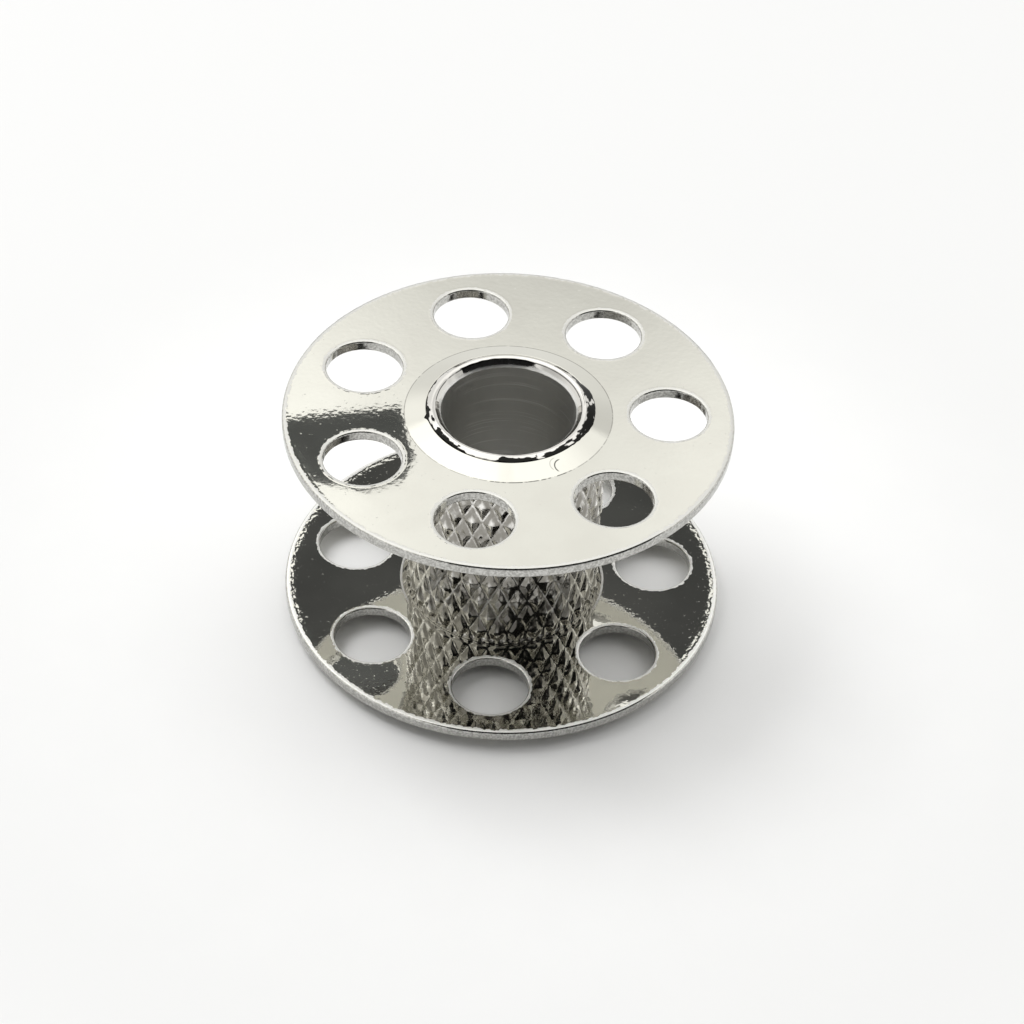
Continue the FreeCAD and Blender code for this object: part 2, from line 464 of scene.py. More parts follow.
@dataclass(frozen=True)
class BrightNickel:
    """Barrel-polished nickel plating of the flanges: nearly a mirror, with faint waves, pits and matt edges;
    the lower flange's matt edges and recess bend, and two scuffed hole walls, carry a painted highlight.

    A dent is a place, the reach of its rim and the strength of the painted shade on its left rim. A scuff is
    a place on a hole's wall.
    """

    name: str = "bright_nickel"
    base: Colour = (0.59, 0.582, 0.53, 1.0)
    worn: Colour = (0.57, 0.56, 0.51, 1.0)
    sheared: Colour = (0.6, 0.595, 0.57, 1.0)
    torn: Colour = (0.36, 0.355, 0.335, 1.0)
    burnished: Colour = (0.57, 0.565, 0.54, 1.0)
    # painted highlight colour for the lower flange's matt parts and the scuffs
    painted_highlight: Colour = (0.9, 0.895, 0.87, 1.0)
    # painted shade colour along the collar's foot and on the dents' left rims
    crease_shade: Colour = (0.06, 0.06, 0.055, 1.0)
    roughness: float = 0.02
    cloud_roughness: float = 0.015
    pit_roughness: float = 0.2
    matt_roughness: float = 0.4
    lower_matt_roughness: float = 0.15
    wall_roughness: float = 0.1
    wave_height: float = 8.0e-4
    lower_waves: float = 1.2
    wide_wave_height: float = 1.0e-4
    edge_wave_height: float = 4.0e-3
    pit_height: float = 4.0e-4
    dents: tuple[tuple[Point, float, float], ...] = (
        ((2.47, -3.57, 11.35), 0.33, 0.95),
        ((2.25, -3.53, 11.36), 0.33, 0.3),
    )
    scuffs: tuple[Point, ...] = ((6.65, 1.95, 10.95), (5.1, 7.8, 10.85))

    @staticmethod
    def outer_half(place: Wire) -> Wire:
        """Tells the outer half of each flange's thickness from the inner half."""
        inner_face = SIZES.height / 2 - SIZES.seat
        return abs(place.part("Z") - SIZES.height / 2).between(inner_face + 0.185, inner_face + 0.285)

    def scuffed_walls(self, place: Wire, edge: Wire) -> Wire:
        """Tells where the inner parts of two hole walls are scuffed matt; the material gives them a painted
        highlight.
        """
        nearest = reduce(Wire.smaller, [place.distance(centre) for centre in self.scuffs])
        return nearest.between(1.0, 0.8) * edge.between(0.84, 0.9) * place.part("Z").between(11.08, 11.0)

    def recess_bend(self, place: Wire) -> Wire:
        """Tells the bend at the foot of the recess, away from its front: matt, and on the lower flange given
        a painted highlight.
        """
        radius, angle = round_axis(place)
        bend = abs(radius - SIZES.recess_foot).between(0.07, 0.03) * (1.0 - self.outer_half(place))
        return bend * abs(angle).between(1.05, 1.25)

    def collar_crease_shade(self, place: Wire) -> Wire:
        """Gives painted shade along the foot of the collar, deepest in front, and on the left rims of the
        dents.
        """
        radius, angle = round_axis(place)
        front = angle.between(-0.22, -0.1) * angle.between(0.7, 0.6)
        foot = abs(radius - SIZES.collar_foot).between(0.045, 0.0) * self.outer_half(place)
        crease_shade = foot * (front * 0.5 + 0.5) * place.noise(4.0, 2.0).between(0.3, 0.5)
        # painted shade on the left rim of each dent
        for centre, reach, depth in self.dents:
            left = (place.part("X") - centre[0]).between(-0.08, -0.2)
            rim = abs(place.distance(centre) - reach).between(0.045, 0.01)
            crease_shade = crease_shade.larger(rim * left * depth)
        return crease_shade

    def build(self) -> bpy.types.Material:
        """Makes the material."""
        material, shader, place = new_material(self.name)
        shader.inputs["Metallic"].default_value = 1.0
        edge = mesh_value(place.tree, "edge")
        low = place.part("Z").between(6.0, 2.0)
        cloud = place.noise(0.5, 3.0)
        fine = place.noise(4.5, 1.0, 0.4)
        pits = place.noise(5.5, 1.0).between(0.74, 0.8).larger(place.noise(9.0, 1.0).between(0.7, 0.78) * low)
        scuffed = self.scuffed_walls(place, edge)
        ring = (edge + fine * 0.5 - 0.25).between(0.53, 0.62) * edge.between(0.9, 0.82)
        matt = ring.larger(scuffed).larger(self.recess_bend(place))
        plate = cloud.between(0.35, 0.7).blend(self.base, self.worn)
        # the lower flange's matt parts and the scuffs take the painted highlight colour; the upper flange's
        # stay burnished
        face = matt.blend(plate, low.larger(scuffed).blend(self.burnished, self.painted_highlight))
        wall = place.noise(10.0, 2.0).between(0.35, 0.65).blend(self.sheared, self.torn)
        plain = edge.between(0.8, 0.97).blend(face, wall)
        rough = matt * (low * self.lower_matt_roughness + self.matt_roughness) + cloud * self.cloud_roughness
        rough = rough + pits * self.pit_roughness + edge.between(0.96, 1.0) * self.wall_roughness
        calm = place.part("Y").between(-5.0, -2.0) * 0.5 + 0.5
        waves = (calm + low * self.lower_waves) * self.wave_height
        waves = waves + edge.between(0.3, 0.9) * self.edge_wave_height
        wide = place.noise(0.9, 1.0) * self.wide_wave_height
        connect(
            shader,
            # painted shade along the collar's foot and on the dents
            Base_Color=self.collar_crease_shade(place).blend(plain, self.crease_shade),
            Roughness=rough + self.roughness,
            Normal=bump(fine * waves + wide + pits * self.pit_height),
        )
        return material


@dataclass(frozen=True)
class TurnedNickel:
    """Thin nickel over the turned tube: bright on the lip, satin in the bore, duller in the knurl."""

    name: str = "turned_nickel"
    bright: Colour = (0.62, 0.605, 0.575, 1.0)
    dull: Colour = (0.33, 0.315, 0.285, 1.0)
    reamed: Colour = (0.73, 0.725, 0.7, 1.0)
    scored: Colour = (1.0, 0.99, 0.97, 1.0)
    # painted shade colour for the lip's torn foot and the seam line
    crevice_shade: Colour = (0.012, 0.012, 0.011, 1.0)
    # painted highlight colour for the knurl's crests and grooves
    painted_highlight: Colour = (0.95, 0.935, 0.9, 1.0)
    # darker colour for the knurl's flanks, deeper in and lower down
    flank_dark: Colour = (0.25, 0.24, 0.215, 1.0)
    lip_roughness: float = 0.04
    knurl_roughness: float = 0.075
    grain_roughness: float = 0.1
    bore_roughness: float = 0.4
    bore_line_height: float = 0.003
    grain_height: float = 0.006
    seam_radius: float = 3.29
    # strength of the painted dark line at the seam
    seam_shade_share: float = 0.85

    def knurl_colour(self, plain: Wire, place: Wire, depth: Wire, in_knurl: Wire) -> Wire:
        """Darkens the diamonds' flanks, deeper in and lower down, and paints highlights on the crests, more
        so higher up, and in the upper grooves.

        Args:
            plain: Colour of the metal.
            place: Place on the piece.
            depth: Depth under the tops of the diamonds.
            in_knurl: Share of the knurl.

        Returns:
            The colour with the knurl's darkened flanks and painted highlights.
        """
        height = place.part("Z")
        flank_darkening = in_knurl * depth.between(0.02, 0.09) * (height.between(7.0, 3.5) * 0.4 + 0.4)
        # painted highlight on the crests of the diamonds, more so higher up
        crest = depth.between(0.11, 0.04) * (height.between(3.5, 7.0) * 0.5 + 0.5)
        # painted highlight in the deepest grooves, more on the upper part
        groove = in_knurl * depth.between(0.17, 0.186) * place.noise(2.5, 2.0).between(0.35, 0.6)
        groove = groove * (height.between(7.5, 9.0) * 0.4 + 0.5)
        return (crest + groove).blend(flank_darkening.blend(plain, self.flank_dark), self.painted_highlight)

    def crevice_shading(self, place: Wire) -> Wire:
        """Gives painted shade in the torn foot of the rolled lip and a painted dark line at the seam inside
        its crest, streaked along it.
        """
        radius, angle = round_axis(place)
        along = Wire.make(place.tree, "CombineXYZ", {"X": angle * 1.4, "Y": radius, "Z": 0.0})
        tear = mesh_value(place.tree, "tear") + along.noise(6.0, 2.0) * 1.4 - 0.7
        # painted shade in the torn foot of the lip
        torn = tear.between(0.0, 0.12) * along.noise(4.0, 1.0).between(0.66, 0.6)
        # painted dark line at the seam inside the crest
        seam = abs(radius - self.seam_radius).between(0.03, 0.005)
        seam = seam * along.noise(5.0, 1.0).between(0.3, 0.5)
        return torn.larger(seam * self.seam_shade_share)

    def build(self) -> bpy.types.Material:
        """Makes the material."""
        material, shader, place = new_material(self.name)
        shader.inputs["Metallic"].default_value = 1.0
        radius, _ = round_axis(place)
        depth = SIZES.knurl_top - radius
        in_bore = radius.between(SIZES.bore + 0.15, SIZES.bore + 0.03)
        in_knurl = depth.between(0.4, 0.25)
        grain = place.noise(3.0, 4.0, 0.6)
        lines = place.times((0.15, 0.15, 9.0)).noise(1.0, 3.0, 0.65)
        bright_lines = lines.between(0.53, 0.7) * place.noise(0.5, 1.0).between(0.45, 0.6)
        smooth = in_bore.blend(self.bright, bright_lines.blend(self.reamed, self.scored))
        plain = (in_knurl * grain.between(0.8, 0.45)).blend(smooth, self.dull)
        rough = in_knurl * (grain * self.grain_roughness + self.knurl_roughness - self.lip_roughness)
        rough = rough + in_bore * (self.bore_roughness - self.lip_roughness) + self.lip_roughness
        # the knurl's colour with its darkened flanks and painted highlights
        worn = self.knurl_colour(plain, place, depth, in_knurl)
        connect(
            shader,
            # painted shade in the lip's torn foot and at its seam
            Base_Color=self.crevice_shading(place).blend(worn, self.crevice_shade),
            Roughness=rough,
            Normal=bump(lines * in_bore * self.bore_line_height + grain * in_knurl * self.grain_height),
        )
        return material


@dataclass(frozen=True)
class FloorPaper:
    """Smooth white paper, painted brighter near the bobbin and dimmer further out: a painted pool of light.
    """

    name: str = "white_paper"
    lit_near: Colour = (0.93, 0.93, 0.93, 1.0)
    dim_far: Colour = (0.825, 0.825, 0.825, 1.0)
    roughness: float = 0.9

    def build(self) -> bpy.types.Material:
        """Makes the material."""
        material, shader, place = new_material(self.name)
        shader.inputs["Roughness"].default_value = self.roughness
        shader.inputs["Specular IOR Level"].default_value = 0.0
        away = place.distance((0.0, 0.0, 0.0)) + place.noise(0.3, 3.0) * 3.0
        # painted pool of light: brighter near the bobbin, dimmer further out
        connect(shader, Base_Color=away.between(11.0, 32.0).blend(self.lit_near, self.dim_far))
        return material


@dataclass
class Flange:
    """A pressed disc with a raised collar round its centre and a ring of round holes."""

    end: End
    arc_steps: int = 48
    side_steps: int = 24
    web_steps: int = 5
    rim_roll: Roll = (0.13, 16.0, 0.13)
    hole_roll: Roll = (0.15, 20.0, 0.09)
    inner_hole_roll: Roll = (0.2, 30.0, 0.09)
    collar_rounds: tuple[float, float, float] = (0.04, 0.03, 0.04)
    rim_reach: float = 0.5
    hole_reach: float = 0.4
    bend_margin: float = 0.15
    margin: float = 0.12
    name: str = field(init=False)

    def __post_init__(self) -> None:
        """Names the piece after its end."""
        self.name = f"bobbin_{self.end.value}_flange"

    @property
    def ring_angles(self) -> Array:
        """Angles of the columns of points that every turned surface of the flange shares."""
        count = SIZES.hole_count * self.arc_steps
        return (np.arange(count) / count - 0.5 / SIZES.hole_count) * FULL_TURN

    @property
    def web_inner(self) -> float:
        """Radius where the flat webs begin, clear of the collar's bends."""
        return SIZES.recess_foot + self.bend_margin

    @property
    def web_outer(self) -> float:
        """Radius where the flat webs end, short of the rim's rolled edge."""
        return SIZES.rim - rolled_edge(*self.rim_roll)[-1, 0] - self.margin

    @staticmethod
    def wall_profile(inner_roll: Roll, outer_roll: Roll) -> Array:
        """Lists a wall from the inner face over to the outer one, out to 0: way out, height and normal."""
        inner, outer = (rolled_edge(*roll) for roll in (inner_roll, outer_roll))
        inner = (inner - (inner[-1, 0], 0.0, 0.0, 0.0)) * (1.0, 1.0, 1.0, -1.0)
        outer = (outer - (outer[-1, 0], 0.0, 0.0, 0.0)) * (1.0, -1.0, 1.0, 1.0)
        return np.vstack([inner, outer[::-1] + (0.0, SIZES.thickness, 0.0, 0.0)])

    def rim_profile(self) -> Array:
        """Lists the rim from the inner face out and over to the outer face."""
        wall = self.wall_profile(self.rim_roll, self.rim_roll) + (SIZES.rim, 0.0, 0.0, 0.0)
        first, last = (self.web_outer, 0.0, 0.0, -1.0), (self.web_outer, SIZES.thickness, 0.0, 1.0)
        return np.vstack([first, wall, last])

    def hole_profile(self) -> Array:
        """Lists a hole's wall from the outer face in and over to the inner face, about the hole's axis."""
        wall = self.wall_profile(self.inner_hole_roll, self.hole_roll)[::-1] * (-1.0, 1.0, -1.0, 1.0)
        wall = wall + (SIZES.hole, 0.0, 0.0, 0.0)
        away = np.max(wall[:, 0]) + self.margin
        return np.vstack([(away, SIZES.thickness, 0.0, 1.0), wall, (away, 0.0, 0.0, -1.0)])

    def collar_profile(self) -> Array:
        """Lists the collar from the outer face in over its top, and back under it to the inner face."""
        thick = SIZES.thickness
        top = thick + SIZES.collar_rise
        under = (SIZES.recess_foot - SIZES.flange_hole) * SIZES.collar_slope
        corners = np.array([
            (self.web_inner, thick), (SIZES.collar_foot, thick), (SIZES.collar_top, top),
            (SIZES.flange_hole, top - SIZES.flare_depth), (SIZES.flange_hole, under),
            (SIZES.recess_foot, 0.0), (self.web_inner, 0.0),
        ])
        radii = np.array([0.0, SIZES.collar_bend, *self.collar_rounds, SIZES.collar_bend + thick, 0.0])
        return rounded_profile(corners, radii, 8)

    def sector_outline(self) -> Array:
        """Lists one sector's outline from its outer arc, anticlockwise."""
        half = math.pi / SIZES.hole_count
        inner, outer = self.web_inner, self.web_outer
        sweep = np.linspace(-half, half, self.arc_steps + 1)
        way = np.linspace(0.0, 1.0, self.side_steps + 1)[1:-1]
        radius = np.concatenate([
            np.full_like(sweep, outer), outer + (inner - outer) * way,
            np.full_like(sweep, inner), inner + (outer - inner) * way,
        ])
        angle = np.concatenate([sweep, np.full_like(way, half), sweep[::-1], np.full_like(way, -half)])
        return np.stack([radius * np.cos(angle), radius * np.sin(angle)], axis=-1)

    def sector(self) -> list[Surface]:
        """Makes the outer face, the inner face and the hole's wall of one sector.

        Along each ray from the hole's centre, a face's points run evenly from the hole's edge to the outline.
        The wall is a rounded profile turned about the hole's own axis, with a column on every ray.
        """
        outline = self.sector_outline()
        centre = np.array([SIZES.hole_circle, 0.0])
        ray = outline - centre
        heading = np.arctan2(ray[:, 1], ray[:, 0])
        profile = self.hole_profile()
        edge = centre + profile[0, 0] * np.stack([np.cos(heading), np.sin(heading)], axis=-1)
        share = np.linspace(0.0, 1.0, self.web_steps + 1)[:, None, None]
        flat = outline + (edge - outline) * share
        faces = []
        for height, facing, rows in ((SIZES.thickness, 1.0, flat), (0.0, -1.0, flat[::-1])):
            points = np.concatenate([rows, np.full_like(rows[..., :1], height)], axis=-1)
            normals = np.broadcast_to((0.0, 0.0, facing), points.shape)
            faces.append(Surface.from_grid(points, normals, wrap=True))
        wall = Surface.turned(profile, heading)
        return [*faces, wall.moved(np.eye(3), np.array([*centre, 0.0]))]

    def edge_share(self, points: Array) -> Array:
        """Tells how near each point is to a punched edge: 1 on the walls, and 0 out of reach of any."""
        radius = np.hypot(points[:, 0], points[:, 1])
        pitch = FULL_TURN / SIZES.hole_count
        angle = (np.arctan2(points[:, 1], points[:, 0]) + pitch / 2) % pitch - pitch / 2
        from_hole = np.hypot(radius * np.cos(angle) - SIZES.hole_circle, radius * np.sin(angle)) - SIZES.hole
        away = np.minimum(from_hole / self.hole_reach, (SIZES.rim - radius) / self.rim_reach)
        return np.clip(1.0 - away, 0.0, 1.0)

    def surface(self) -> Surface:
        """Joins the rim, the collar and all the sectors, and sets the flange where it belongs."""
        parts = [Surface.turned(self.rim_profile(), self.ring_angles)]
        parts.append(Surface.turned(self.collar_profile(), self.ring_angles))
        sector = self.sector()
        for number in range(SIZES.hole_count):
            matrix = turn_about_z(number * 360.0 / SIZES.hole_count)
            parts += [part.moved(matrix, np.zeros(3)) for part in sector]
        whole = Surface.joined(parts)
        whole.values["edge"] = self.edge_share(whole.points)
        if self.end is End.UPPER:
            lift = np.array([0.0, 0.0, SIZES.height - SIZES.seat])
            return whole.moved(turn_about_z(SIZES.upper_turn), lift)
        over = turn_about_z(SIZES.lower_turn) @ TURNED_OVER
        return whole.moved(over, np.array([0.0, 0.0, SIZES.seat]))

    def build(self, material: bpy.types.Material) -> bpy.types.Object:
        """Makes the flange's piece."""
        piece = self.surface().to_object(self.name)
        piece.data.materials.append(material)
        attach(piece, ROOT_BODY)
        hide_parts(f"{self.end.value}_flange")
        return piece


def ripple(
    angles: Array, heights: Array, waves: int, lowest: int, highest: int, tall: float, seed: int
) -> Array:
    """Adds up sine waves that close round the axis.

    Args:
        angles: Angles round the axis.
        heights: Heights in millimetres, of a shape that goes with the angles.
        waves: Number of waves.
        lowest: Fewest crests round the axis.
        highest: Most crests round the axis.
        tall: Highest number of radians to a millimetre of height.
        seed: Seed of the waves' sizes and starts.

    Returns:
        Values of about unit spread.
    """
    rng = np.random.default_rng(seed)
    total = np.zeros(np.broadcast(angles, heights).shape)
    for crests in rng.integers(lowest, highest + 1, waves):
        total += np.cos(crests * angles + rng.uniform(-tall, tall) * heights + rng.uniform(0, FULL_TURN))
    return total * math.sqrt(2.0 / waves)


@dataclass
class Hub:
    """The turned tube: its bore, a rolled lip and a spigot at each end, and the diamond knurl between them.

    The torn foot of the rolled lip has a width at each of a few angles from the front, in degrees.
    """

    cells: int = 8
    patterns: int = 64
    seed: int = 11
    uneven: float = 0.15
    brim_range: tuple[float, float] = (0.5, 0.85)
    hollow: float = 1.5
    lean: float = 0.35
    groove: float = 0.06
    torn: float = 0.007
    knurl_margin: float = 0.06
    chamfer_start: float = 0.05
    mouth_depth: float = 0.34
    funnel_wobble: float = 0.004
    end_rounds: tuple[float, ...] = (0.06, 0.22, 0.05, 0.04, 0.03, 0.03, 0.02)
    lip_wobble: float = 0.008
    lip_reach: float = 0.25
    lip_margin: float = 0.04
    lip_sink: float = 0.012
    tear_widths: tuple[tuple[float, float], ...] = (
        (-180, 0.02), (-158, 0.02), (-150, 0.09), (-120, 0.07), (-95, 0.06), (-84, 0.12), (-76, 0.4),
        (-70, 0.22), (-50, 0.2), (-36, 0.16), (-28, 0.03), (-8, 0.03), (-3, 0.24), (40, 0.25), (60, 0.32),
        (78, 0.45), (112, 0.45), (122, 0.2), (130, 0.08), (150, 0.06), (165, 0.02), (180, 0.02),
    )
    name: str = "bobbin_hub"

    @property
    def angles(self) -> Array:
        """Angles of the columns, with the knurl's grooves and ridges on them."""
        count = 2 * SIZES.knurl_starts * self.cells
        return math.radians(SIZES.knurl_turn) + np.arange(count) / count * FULL_TURN

    @property
    def shoulder_height(self) -> float:
        """Height where the lower shoulder meets the chamfer."""
        return SIZES.seat - (SIZES.recess_foot - SIZES.shoulder) * SIZES.collar_slope

    def end_profile(self) -> Array:
        """Lists the lower end from the middle of the bore over the lip to the foot of the knurl."""
        flare = SIZES.lip_height - SIZES.collar_rise
        spigot_root = SIZES.seat - (SIZES.recess_foot - SIZES.spigot) * SIZES.collar_slope
        corners = np.array([
            (SIZES.bore, SIZES.height / 2), (SIZES.bore, self.mouth_depth), (SIZES.crest_inside, 0.0),
            (SIZES.crest_outside, 0.0), (SIZES.flare_edge, flare), (SIZES.spigot, flare + SIZES.flare_depth),
            (SIZES.spigot, spigot_root), (SIZES.shoulder, self.shoulder_height),
            (SIZES.shoulder + self.chamfer_start, self.shoulder_height + self.chamfer_start),
        ])
        return rounded_profile(corners, np.array([0.0, *self.end_rounds, 0.0]), 6)[:, :2]

    def knurl_rows(self) -> tuple[Array, Array]:
        """Finds the radius of the knurl on a grid of heights and angles.

        Two families of grooves cross, and the height over them is the lesser of two triangle waves, so each
        diamond is a low pyramid of four flanks. Diamonds differ a little in height and lean, the tops of some
        are hollow, and the grooves have blunt bottoms. A cone at each end cuts in.

        Returns:
            Points of the grid, and the cells that are cut along the right-hand grooves.
        """
        step = SIZES.row_rise / self.cells
        middle = SIZES.height / 2 + SIZES.knurl_lift
        low = self.shoulder_height + self.knurl_margin
        high = SIZES.height - low
        lines = np.arange(math.ceil((low - middle) / step), math.floor((high - middle) / step) + 1)
        columns = np.arange(len(self.angles))
        around, along = np.meshgrid(columns, lines)
        period = 2 * self.cells
        first = (around + along) / period + 0.5
        second = (around - along) / period + 0.5
        column = (np.floor(first) + np.floor(second)).astype(int) % (2 * SIZES.knurl_starts)
        row = (np.floor(first) - np.floor(second)).astype(int) % self.patterns
        rng = np.random.default_rng(self.seed)
        draws = rng.random((5, 2 * SIZES.knurl_starts, self.patterns))
        lower, brim, sunk, left, right = draws[:, column, row]
        rise = np.minimum(self.tooth(first), self.tooth(second))
        brim = self.brim_range[0] + (self.brim_range[1] - self.brim_range[0]) * brim
        rise = np.where(rise > brim, brim + (rise - brim) * (1.0 - self.hollow * sunk), rise)
        sideways = (left - 0.5) * (first % 1.0 - 0.5) + (right - 0.5) * (second % 1.0 - 0.5)
        rise = rise * (1.0 - self.uneven * lower + self.lean * sideways)
        rise = np.maximum(rise, self.groove)
        heights = middle + along * step
        angles = self.angles[around]
        radius = SIZES.knurl_top - SIZES.knurl_depth * (1.0 - rise)
        radius = radius + self.torn * ripple(angles, heights, 60, 20, 160, 28.0, self.seed)
        cone = SIZES.shoulder - self.shoulder_height + np.minimum(heights, SIZES.height - heights)
        radius = np.minimum(np.minimum(radius, SIZES.knurl_top), cone)
        points = np.stack([radius * np.cos(angles), radius * np.sin(angles), heights], axis=-1)
        return points, self.right_handed(first, second)

    @staticmethod
    def tooth(phase: Array) -> Array:
        """Triangle wave: 0 at whole numbers and 1 half way between."""
        return 1.0 - np.abs(2.0 * (phase - np.floor(phase)) - 1.0)

    def right_handed(self, first: Array, second: Array) -> Array:
        """Tells the cells that lie nearer a groove of the first family, by the phases at their middles."""
        return self.tooth(first[:-1] + 0.5 / self.cells) < self.tooth(second[:-1])

    def end_rows(self, seed: int) -> tuple[Array, Array]:
        """Turns the end's profile round Z, with the torn foot of the rolled lip spread over the collar.

        Args:
            seed: Seed of the lip's unevenness.

        Returns:
            Grid of points at the lower end, and the tear's value there: above 0 where the metal is torn,
            which the hub's material fills with painted shade.
        """
        profile = self.end_profile()
        angles = self.angles[None, :]
        radius, height = (np.repeat(column[:, None], angles.size, axis=1) for column in profile.T)
        flank = SIZES.flare_edge - SIZES.crest_outside
        share = np.clip((radius - SIZES.crest_outside) / flank, 0.0, 1.0) * (height < self.lip_reach)
        azimuth = np.degrees(angles + math.pi / 2 + math.pi) % 360.0 - 180.0
        torn_width = np.interp(azimuth, *np.array(self.tear_widths, float).T)
        spread = np.maximum(torn_width + self.lip_margin - flank, 0.0)
        wobble = self.lip_wobble * share * ripple(angles, 4.0 * height, 30, 6, 70, 3.0, seed)
        drop = share * (spread * SIZES.collar_slope - self.lip_sink * (spread > 0))
        height = height + drop + 0.5 * wobble
        funnel = (radius < SIZES.crest_inside) * (height < SIZES.funnel_depth)
        radius = radius + share * spread + wobble
        uneven = ripple(angles, 2.0 * height, 30, 4, 40, 3.0, seed + 50)
        radius = radius + self.funnel_wobble * funnel * uneven
        points = np.stack([radius * np.cos(angles), radius * np.sin(angles), height], axis=-1)
        return points, np.where(share > 0, share - 1.0 + torn_width / (flank + spread), -1.0)

    def surface(self) -> Surface:
        """Joins the two ends and the knurl into one closed surface."""
        knurl, split = self.knurl_rows()
        lower, lower_tear = self.end_rows(self.seed + 1)
        upper, upper_tear = self.end_rows(self.seed + 2)
        upper = upper[:0:-1] * (1.0, 1.0, -1.0) + (0.0, 0.0, SIZES.height)
        grid = np.concatenate([lower, knurl, upper])
        tear = np.concatenate([lower_tear, np.full(knurl.shape[:2], -1.0), upper_tear[:0:-1]])
        plain = np.zeros((len(grid) - 1, grid.shape[1]), bool)
        plain[len(lower):len(lower) + len(split)] = split
        closed = np.concatenate([grid, grid[:1]])
        plain = np.vstack([plain, np.zeros_like(plain[:1])])
        ring = Surface.from_grid(closed, np.ones_like(closed), wrap=True, split=plain)
        rows = np.arange(grid.shape[0] * grid.shape[1])
        values = {"tear": tear.reshape(-1)}
        ring = Surface(ring.points[rows], ring.normals[rows], ring.triangles % len(rows), values)
        return ring.with_own_normals()

    def build(self, material: bpy.types.Material) -> bpy.types.Object:
        """Makes the hub's piece."""
        piece = self.surface().to_object(self.name)
        piece.data.materials.append(material)
        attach(piece, ROOT_BODY)
        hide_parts("hub")
        return piece


@dataclass(frozen=True)
class PhotoCamera:
    """The camera of the photograph, solved from the rims and holes; lengths in millimetres."""

    target: Point = (0.351, 0.0, 5.128)
    distance: float = 145.9
    elevation: float = 42.64
    roll: float = 2.5
    lens: float = 110.64
    sensor: float = 36.0
    clip: tuple[float, float] = (0.001, 10.0)

    @property
    def back(self) -> Array:
        """Direction from the target to the camera."""
        tilt = math.radians(self.elevation)
        return np.array([0.0, -math.cos(tilt), math.sin(tilt)])

    def build(self) -> bpy.types.Object:
        """Sets the scene's camera."""
        roll = math.radians(self.roll)
        level = np.array([1.0, 0.0, 0.0])
        right = math.cos(roll) * level + math.sin(roll) * np.cross(self.back, level)
        data = bpy.data.cameras.new("photo_camera")
        data.lens, data.sensor_width = self.lens, self.sensor
        data.clip_start, data.clip_end = self.clip
        camera = add_object("photo_camera", data)
        set_axes(camera, right, self.back, np.array(self.target) + self.distance * self.back)
        bpy.context.scene.camera = camera
        return camera


@dataclass(frozen=True)
class Room:
    """The room: soft light from above and behind for the floor, and graded walls for the metal to show."""

    level: float = 0.7
    behind: float = 0.7
    overhead: float = 0.6
    dark_share: float = 0.93
    tint: Colour = (1.0, 1.0, 0.985, 1.0)
    shown_level: float = 0.75
    shown_behind: float = 0.05
    shown_left: float = 0.28
    shown_far_left: float = 0.2
    shown_beside: float = 0.2
    shown_top: float = 0.44
    shown_zenith: float = 0.42
    shown_low: float = 0.33

    def soft_light(self, way: Wire) -> Wire:
        """Gives the strength of the light on the floor, which is weak from the camera's side."""
        shade = way.dot(tuple(PhotoCamera().back)).between(0.42, 0.92)
        back = way.part("Y").between(-0.3, 0.5)
        top = way.part("Z").between(0.55, 0.95)
        return (back * self.behind + top * self.overhead + self.level) * (1.0 - shade * self.dark_share)

    def shown_light(self, way: Wire) -> Wire:
        """Gives the brightness that metal shows: more to the left, to the sides and upwards."""
        across, height = way.part("X"), way.part("Z")
        back = way.part("Y").between(-0.3, 0.5)
        left = across.between(0.12, -0.12) * self.shown_left
        left = left + across.between(-0.2, -0.42) * self.shown_far_left
        sides = left + (across * across).between(0.0, 0.004) * self.shown_beside
        top = height.between(0.6, 0.67) * self.shown_top + height.between(0.7, 0.97) * self.shown_zenith
        low = height.between(0.5, 0.3) * self.shown_low
        return (sides * height.between(0.3, 0.5) + self.shown_behind) * back + top + low + self.shown_level

    def build(self) -> bpy.types.World:
        """Makes the world."""
        world = bpy.data.worlds.new("room")
        world.use_nodes = True
        tree = world.node_tree
        way = Wire.make(tree, "TexCoord", {}, "Generated")
        on_metal = Wire.make(tree, "LightPath", {}, "Is Glossy Ray")
        soft, shown = self.soft_light(way), self.shown_light(way)
        light = soft + on_metal * (shown - soft)
        sky = tree.nodes["Background"]
        sky.inputs["Color"].default_value = self.tint
        tree.links.new(light.socket, sky.inputs["Strength"])
        bpy.context.scene.world = world
        return world


@dataclass(frozen=True)
class DarkCloth:
    """Dark grey stuff that only the polished metal shows."""

    name: str
    dark: Colour = (0.07, 0.07, 0.07, 1.0)
    light: Colour = (0.1, 0.1, 0.098, 1.0)
    grain: float = 0.15

    def build(self) -> bpy.types.Material:
        """Makes the material."""
        material = bpy.data.materials.new(self.name)
        material.use_nodes = True
        tree = material.node_tree
        tree.nodes.remove(tree.nodes["Principled BSDF"])
        place = Wire.make(tree, "TexCoord", {}, "Object").scaled(1.0 / MM)
        colour = place.noise(self.grain, 3.0).between(0.3, 0.7).blend(self.dark, self.light)
        glow = Wire.make(tree, "Emission", {"Color": colour, "Strength": 1.0})
        tree.links.new(glow.socket, tree.nodes["Material Output"].inputs["Surface"])
        return material


@dataclass(frozen=True)
class Card:
    """A flat card that only reflections show; corners in millimetres, in order round its edge."""

    name: str
    corners: Array
    cloth: DarkCloth

    def build(self) -> bpy.types.Object:
        """Hangs the card."""
        mesh = bpy.data.meshes.new(self.name)
        mesh.from_pydata((self.corners * MM).tolist(), [], [list(range(len(self.corners)))])
        mesh.materials.append(self.cloth.build())
        card = add_object(self.name, mesh)
        card.visible_camera = False
        card.visible_diffuse = False
        card.visible_shadow = False
        return card


